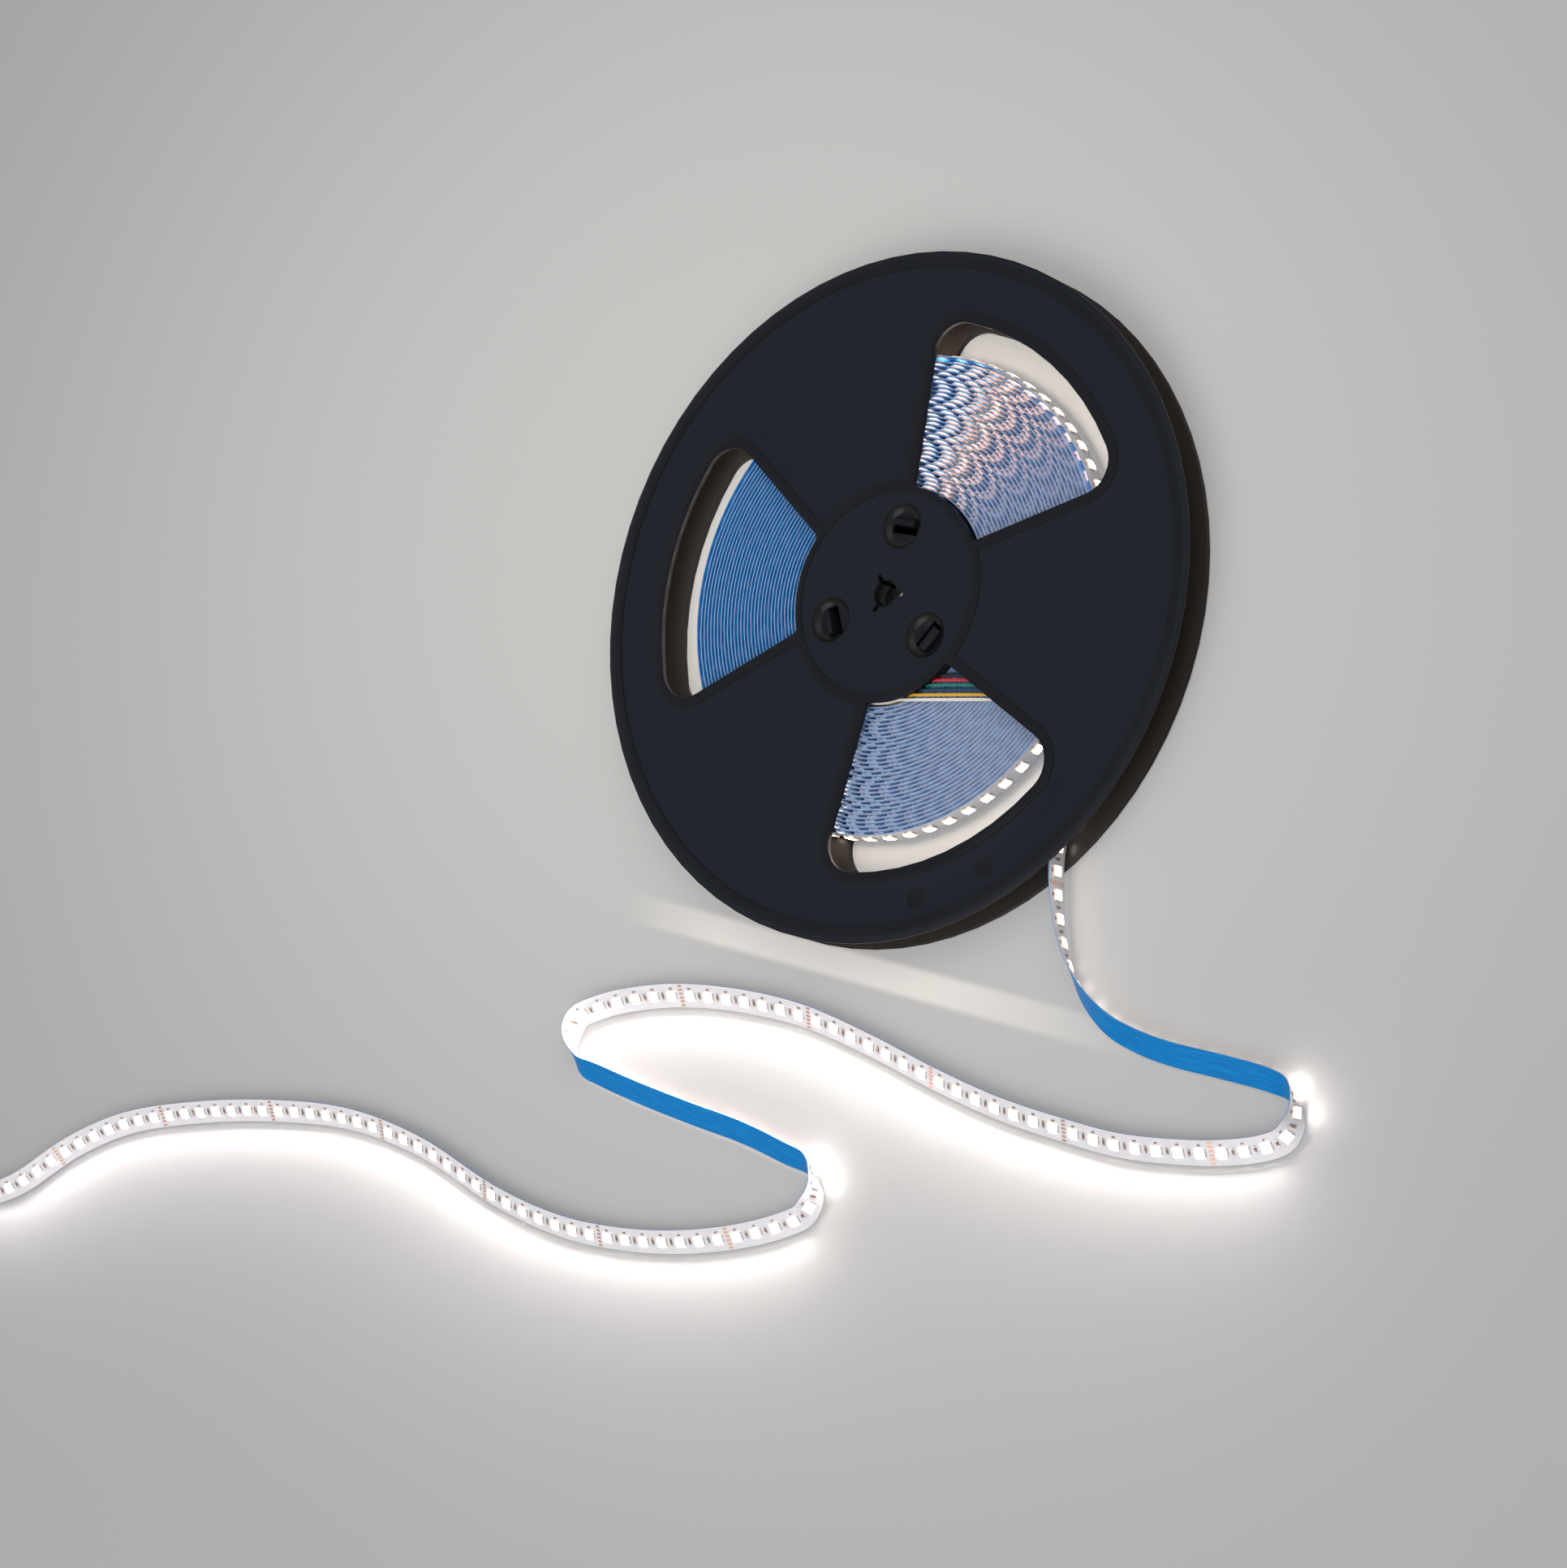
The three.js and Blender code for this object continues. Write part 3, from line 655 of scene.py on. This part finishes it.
pad_column = model_pads()
gaps = loose_leds_at[:-1] + LED_PITCH / 2
is_cut = np.arange(len(gaps)) % LEDS_IN_SECTION == CUT_GAP
loose_pads = stamp("loose_cut_pads", pad_column, loose_line, loose_lean, gaps[is_cut])
loose_large = stamp("loose_large_chips", large_chip, loose_line, loose_lean, gaps[~is_cut])
loose_small = stamp("loose_small_chips", small_chip, loose_line, loose_lean, loose_leds_at)
wound_small = stamp("wound_small_chips", small_chip, coil_line, coil_lean, wound_leds_at)
# The chips on the reel are painted a dull pink: painted light for the LED light on them.
wound_small.data.materials[0] = plain(
    "resistor_ceramic_painted_led_light", "#c79c9a", Roughness=0.5)
print(is_cut.sum(), "cut marks on the loose strip")

# %% [markdown]
# The two reel halves are injection moulded in black high-impact polystyrene. The tool was
# spark eroded on the sunk panels, which leaves a fine matt grain, and polished on the borders,
# the rim and the inner faces, which come out smoother. To the eye it is a blue-black shell with
# dull panels in a faintly shiny border. One material does all: it reads the height of the
# surface, because the panels lie half a millimetre below the borders. Between the flanges, past
# the hub, the level faces are painted paler and warm: painted light, for the light of the LEDs
# that falls on them there. Faces that are not level, the walls of windows, steps and cups and
# the edge radii, are painted a lighter brown-grey, a painted highlight for the light they catch.
# The spark grain is drawn at one and a half grains to the millimetre, coarser than it is, so that
# it shows, and the flow marks on the borders are some 45 mm long.

# %% Moulded polystyrene
REEL_HEIGHT = 19.8
MIDDLE = REEL_HEIGHT / 2
PANEL_DEPTH = 0.5
PANEL_BAND = 0.16
FLANGE_THICKNESS = 2.5
INNER_FACE = MIDDLE - FLANGE_THICKNESS
INSIDE_BAND = 0.3
PAST_HUB = 56
LEVEL_FROM = 0.95
GRAIN_HEIGHT = 0.08
GRAINS_PER_MM = 1.5
FLOW_PER_MM = 0.022
BORDER_GRAIN, PANEL_GRAIN = 0.04, 0.5
BORDER_ROUGHNESS, PANEL_ROUGHNESS, INSIDE_SMOOTHER = 0.42, 0.6, 0.16


def flange_material():
    """Black polystyrene: grained panels, smoother borders, glossy inner faces, painted light on
    walls and inner faces.
    """
    material, tree, bsdf = new_material(
        "moulded_black_polystyrene", IOR=1.59, Specular_IOR_Level=0.15)
    where = add_node(tree, "TexCoord")
    parts = add_node(tree, "SeparateXYZ", links={0: where.outputs["Object"]})
    height = add_node(tree, "Math", {"operation": "SUBTRACT", 1: MIDDLE * MM},
                      {0: parts.outputs["Z"]})
    reach = add_node(tree, "Math", {"operation": "ABSOLUTE"}, {0: height.outputs[0]})
    facing = add_node(tree, "NewGeometry")
    normal = add_node(tree, "SeparateXYZ", links={0: facing.outputs["True Normal"]})
    upright = add_node(tree, "Math", {"operation": "ABSOLUTE"}, {0: normal.outputs["Z"]})
    level = add_node(tree, "Math", {"operation": "GREATER_THAN", 1: LEVEL_FROM},
                     {0: upright.outputs[0]})
    at_panel = add_node(tree, "Math", {
        "operation": "COMPARE", 1: (MIDDLE - PANEL_DEPTH) * MM, 2: PANEL_BAND * MM,
    }, {0: reach.outputs[0]})
    panel = add_node(tree, "Math", {"operation": "MULTIPLY"},
                     {0: at_panel.outputs[0], 1: level.outputs[0]})
    at_inside = add_node(tree, "Math", {
        "operation": "LESS_THAN", 1: (INNER_FACE + INSIDE_BAND) * MM,
    }, {0: reach.outputs[0]})
    from_axis = add_node(tree, "VectorMath", {"operation": "LENGTH"},
                         {0: where.outputs["Object"]})
    past_hub = add_node(tree, "Math", {"operation": "GREATER_THAN", 1: PAST_HUB * MM},
                        {0: from_axis.outputs["Value"]})
    in_channel = add_node(tree, "Math", {"operation": "MULTIPLY"},
                          {0: past_hub.outputs[0], 1: at_inside.outputs[0]})
    painted_led_light_inside = add_node(tree, "Math", {"operation": "MULTIPLY"},
                          {0: level.outputs[0], 1: in_channel.outputs[0]})

    grain = add_node(tree, "TexNoise", {
        "Scale": GRAINS_PER_MM / MM, "Detail": 3.0, "Roughness": 0.6,
    }, {"Vector": where.outputs["Object"]})
    flow = add_node(tree, "TexNoise", {"Scale": FLOW_PER_MM / MM, "Detail": 3.0},
                    {"Vector": where.outputs["Object"]})
    panel_tint = add_node(tree, "ValToRGB", links={"Fac": grain.outputs["Fac"]},
                          tones=[(0, linear("#0f131b")), (1, linear("#171c28"))])
    border_tint = add_node(tree, "ValToRGB", links={"Fac": flow.outputs["Fac"]},
                           tones=[(0, linear("#0b0e15")), (1, linear("#11151f"))])
    faces = add_node(tree, "Mix", {"data_type": "RGBA"}, {
        "Factor": panel.outputs[0], MIX_LOW: border_tint.outputs["Color"],
        MIX_HIGH: panel_tint.outputs["Color"],
    })
    # Faces that are not level, walls and edge radii, get a lighter brown-grey: painted highlight
    # for the light they catch.
    with_painted_wall_highlight = add_node(tree, "Mix", {"data_type": "RGBA", MIX_LOW: linear("#1d1b1c")}, {
        "Factor": level.outputs[0], MIX_HIGH: faces.outputs[MIX_COLOUR],
    })
    # Level inner faces past the hub get a paler warm tint: painted light of the LEDs that falls
    # there.
    tint = add_node(tree, "Mix", {"data_type": "RGBA", MIX_HIGH: linear("#37322f")}, {
        "Factor": painted_led_light_inside.outputs[0], MIX_LOW: with_painted_wall_highlight.outputs[MIX_COLOUR],
    })
    tree.links.new(tint.outputs[MIX_COLOUR], bsdf.inputs["Base Color"])

    outside = add_node(tree, "MapRange", {"To Min": BORDER_ROUGHNESS, "To Max": PANEL_ROUGHNESS},
                       {"Value": panel.outputs[0]})
    gloss = add_node(tree, "MapRange", {"To Min": 0.0, "To Max": -INSIDE_SMOOTHER},
                     {"Value": at_inside.outputs[0]})
    roughness = add_node(tree, "Math", {"operation": "ADD"},
                         {0: outside.outputs[0], 1: gloss.outputs[0]})
    tree.links.new(roughness.outputs[0], bsdf.inputs["Roughness"])
    depth = add_node(tree, "MapRange", {"To Min": BORDER_GRAIN, "To Max": PANEL_GRAIN},
                     {"Value": panel.outputs[0]})
    bump = add_node(tree, "Bump", {"Distance": GRAIN_HEIGHT * MM},
                    {"Height": grain.outputs["Fac"], "Strength": depth.outputs[0]})
    tree.links.new(bump.outputs["Normal"], bsdf.inputs["Normal"])
    return material


POLYSTYRENE = flange_material()
print("Panels lie", PANEL_DEPTH, "mm below the borders")

# %% [markdown]
# A moulded edge is never sharp: the tool and the cooling plastic leave a radius of a few tenths
# of a millimetre, and those radii catch the light in thin light lines round the windows; the
# material also paints them lighter, as painted highlight. The CAD halves already have the right
# form, so a copy of each is merged, cleared of needless edges, rounded with a bevel and shaded
# smooth.

# %% Reel halves
EDGE_RADIUS = 0.22
SAME_POINT = 1e-6
FLAT_WITHIN = 0.5
SHARP_FROM = 35
SMOOTH_UP_TO = 30


def cad_copy(node, name, mend):
    """A bare copy of a CAD node with merged corners, mended by one more mesh operator."""
    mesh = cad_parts[node].data.copy()
    mesh.materials.clear()
    piece = bpy.data.objects.new(name, mesh)
    bpy.context.collection.objects.link(piece)
    pick(piece)
    bpy.ops.object.mode_set(mode="EDIT")
    bpy.ops.mesh.select_all(action="SELECT")
    bpy.ops.mesh.remove_doubles(threshold=SAME_POINT)
    mend()
    bpy.ops.object.mode_set(mode="OBJECT")
    return piece


def rounded_copy(node, name, radius):
    """A copy of a CAD node with slightly rounded edges."""
    flat = math.radians(FLAT_WITHIN)
    piece = cad_copy(node, name, lambda: bpy.ops.mesh.dissolve_limited(angle_limit=flat))
    bevel = piece.modifiers.new("edge radius", "BEVEL")
    bevel.width = radius * MM
    bevel.segments = 2
    bevel.limit_method = "ANGLE"
    bevel.angle_limit = math.radians(SHARP_FROM)
    bpy.ops.object.modifier_apply(modifier=bevel.name)
    bpy.ops.object.shade_smooth_by_angle(angle=math.radians(SMOOTH_UP_TO))
    return piece


front_half = rounded_copy("front_flange", "front_half", EDGE_RADIUS)
rear_half = rounded_copy("rear_flange", "rear_half", EDGE_RADIUS)
for half in (front_half, rear_half):
    half.data.materials.append(POLYSTYRENE)
print("Reel halves:", len(front_half.data.polygons), "and", len(rear_half.data.polygons), "faces")

# %% [markdown]
# The lead wires are stranded copper in soft PVC. PVC insulation has an even colour and a low
# waxy gloss, with cloudy patches some 4 mm long. The CAD wires have eight sides; a subdivided
# copy rounds them.

# %% Lead wires
WIRE_COLOURS = {
    "white": "#f0ece4", "yellow": "#e3ae38", "blue": "#123f60",
    "green": "#1d7f74", "red": "#d23039", "black": "#191b20",
}
wires = []
for colour_name, colour in WIRE_COLOURS.items():
    node = "lead_" + colour_name
    wire = cad_copy(node, "wire_" + colour_name, bpy.ops.mesh.tris_convert_to_quads)
    rounding = wire.modifiers.new("rounding", "SUBSURF")
    rounding.levels = rounding.render_levels = 1
    bpy.ops.object.modifier_apply(modifier=rounding.name)
    bpy.ops.object.shade_smooth()
    wire.data.materials.append(plain("pvc_insulation_" + colour_name, colour,
                                     spots_per_mm=0.26, shade=0.86, Roughness=0.38, IOR=1.53))
    wires.append((wire, node))
print(len(wires), "lead wires")

# %% [markdown]
# The patterns have done their work and go. Each piece now rides on the reel's one body and stands
# for its CAD node, whose own mesh is hidden.

# %% Hand the pieces to the frame
for pattern in (bright_led_pattern, turning_led_pattern, dim_led_pattern, led_pattern,
                inner_led_pattern, small_chip, large_chip, pad_column):
    bpy.data.objects.remove(pattern)
stands_for = [(wound_board, "wound_strip"), (loose_board, "free_strip"),
              (front_half, "front_flange"), (rear_half, "rear_flange")] + wires
for piece, node in stands_for:
    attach(piece, "root")
    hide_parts(node)
small_parts = [glowing_leds, turning_leds, loose_leds, loose_small, loose_large, loose_pads]
for piece in small_parts + [outer_leds, wound_leds, wound_small]:
    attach(piece, "root")
print("Pieces:", [piece.name for piece, _ in stands_for])

# %% [markdown]
# The floor is a plain pale sheet of matt paper. Its colour is painted a little lighter round
# the reel and greyer outwards: a painted pool of light, as on a lit studio sweep. That fall-off
# is in the sheet's own colour, so the lamps stay plain.

# %% Floor sheet
FLOOR_SIZE = 8
FLOOR_DROP = 0.05
# Painted pool of light in the sheet's colour: paler near the reel, greyer further out.
NEAR_REEL, FURTHER_OUT = "#a9a8a6", "#8f8f90"
SPOT_SHIFT = (-0.02, -0.10, 0)
SPOT_SCALE = (1.0, 0.8, 0)
SPOT_INNER, SPOT_OUTER = 0.05, 0.6
start_clean()
bpy.ops.mesh.primitive_plane_add(size=FLOOR_SIZE, location=(0, 0, -FLOOR_DROP * MM))
floor = bpy.context.object
floor.name = "floor"
paper, tree, bsdf = new_material("matt_studio_paper", Roughness=0.7)
where = add_node(tree, "TexCoord")
centred = add_node(tree, "Mapping", {"Location": SPOT_SHIFT, "Scale": SPOT_SCALE},
                   {"Vector": where.outputs["Object"]})
away = add_node(tree, "VectorMath", {"operation": "LENGTH"}, {0: centred.outputs[0]})
fall = add_node(tree, "MapRange", {
    "From Min": SPOT_INNER, "From Max": SPOT_OUTER, "interpolation_type": "SMOOTHSTEP",
}, {"Value": away.outputs["Value"]})
sheet = add_node(tree, "ValToRGB", links={"Fac": fall.outputs[0]},
                 tones=[(0, linear(NEAR_REEL)), (1, linear(FURTHER_OUT))])
print("Floor colour runs from", NEAR_REEL, "to", FURTHER_OUT)

# %% [markdown]
# In the photograph a faint streak of light lies on the floor beside the reel. It is part of the
# sheet's colour here too: a narrow band with soft edges that fades towards both ends.

# %% Light streak
STREAK_FROM = (-186.0, 96.0, 0)
STREAK_TURN = -82.35
STREAK_LENGTH = 315
STREAK_HALF_WIDTH = 8
STREAK_EDGE = (0.6, 1.1)
STREAK_FULL = (0.2, 0.6)
BLACK, WHITE = (0, 0, 0, 1), (1, 1, 1, 1)
streak = add_node(tree, "Mapping", {
    "vector_type": "TEXTURE", "Location": tuple(c * MM for c in STREAK_FROM),
    "Rotation": (0, 0, math.radians(STREAK_TURN)),
    "Scale": (STREAK_LENGTH * MM, STREAK_HALF_WIDTH * MM, 1),
}, {"Vector": where.outputs["Object"]})
parts = add_node(tree, "SeparateXYZ", links={0: streak.outputs[0]})
side = add_node(tree, "Math", {"operation": "ABSOLUTE"}, {0: parts.outputs["Y"]})
soft = add_node(tree, "MapRange", {
    "From Min": STREAK_EDGE[0], "From Max": STREAK_EDGE[1], "To Min": 1.0, "To Max": 0.0,
    "interpolation_type": "SMOOTHSTEP",
}, {"Value": side.outputs[0]})
ends = add_node(tree, "ValToRGB", links={"Fac": parts.outputs["X"]},
                tones=[(0, BLACK), (1, BLACK)])
for place in STREAK_FULL:
    ends.color_ramp.elements.new(place).color = WHITE
amount = add_node(tree, "Math", {"operation": "MULTIPLY"},
                  {0: soft.outputs[0], 1: ends.outputs["Color"]})
lit_sheet = add_node(tree, "Mix", {"data_type": "RGBA", MIX_HIGH: linear("#c3bfba")},
                     {"Factor": amount.outputs[0], MIX_LOW: sheet.outputs["Color"]})
tree.links.new(lit_sheet.outputs[MIX_COLOUR], bsdf.inputs["Base Color"])
print("The streak is", STREAK_LENGTH, "mm long")

# %% [markdown]
# To the camera, and in glossy or clear pieces, the sheet also gives off a little of its own
# colour, so that it looks as pale as the photograph's without brighter lamps. Diffuse rays don't
# see that, so the sheet doesn't light the reel and keeps the reel's shadow.

# %% Floor veil
PAPER_VEIL = 0.5
rays = add_node(tree, "LightPath")
seen = add_node(tree, "Math", {"operation": "MAXIMUM"},
                {0: rays.outputs["Is Camera Ray"], 1: rays.outputs["Is Glossy Ray"]})
seen = add_node(tree, "Math", {"operation": "MAXIMUM"},
                {0: seen.outputs[0], 1: rays.outputs["Is Transmission Ray"]})
veil = add_node(tree, "Math", {"operation": "MULTIPLY", 1: PAPER_VEIL}, {0: seen.outputs[0]})
tree.links.new(lit_sheet.outputs[MIX_COLOUR], bsdf.inputs["Emission Color"])
tree.links.new(veil.outputs[0], bsdf.inputs["Emission Strength"])
floor.data.materials.append(paper)
print("The sheet gives off", PAPER_VEIL, "of its colour to the camera")

# %% [markdown]
# The light is soft and plain. A dim even sky keeps the shadows open, and two large soft boxes
# give the rest. Neither box stands where the reel's flat face would mirror it to the camera,
# so the black plastic stays black.

# %% Lamps and sky
def softbox(name, place, watts, size):
    """A square area lamp that looks at the reel."""
    bpy.ops.object.light_add(type="AREA", location=place)
    lamp = bpy.context.object
    lamp.name = name
    lamp.data.energy = watts
    lamp.data.size = size
    aim = -lamp.location
    lamp.rotation_euler = aim.to_track_quat("-Z", "Y").to_euler()
    return lamp


SKY = 0.5
world = bpy.data.worlds.new("sky")
bpy.context.scene.world = world
world.use_nodes = True
sky = world.node_tree.nodes["Background"]
sky.inputs["Color"].default_value = WHITE
sky.inputs["Strength"].default_value = SKY
softbox("key", place=(-1.5, -0.5, 1.9), watts=28, size=2.0)
softbox("fill", place=(1.6, -0.6, 1.7), watts=14, size=2.0)

# %% [markdown]
# Last, the view transform is set to Standard, so that a colour shows as it was written.

# %% Finish
bpy.context.scene.view_settings.view_transform = "Standard"
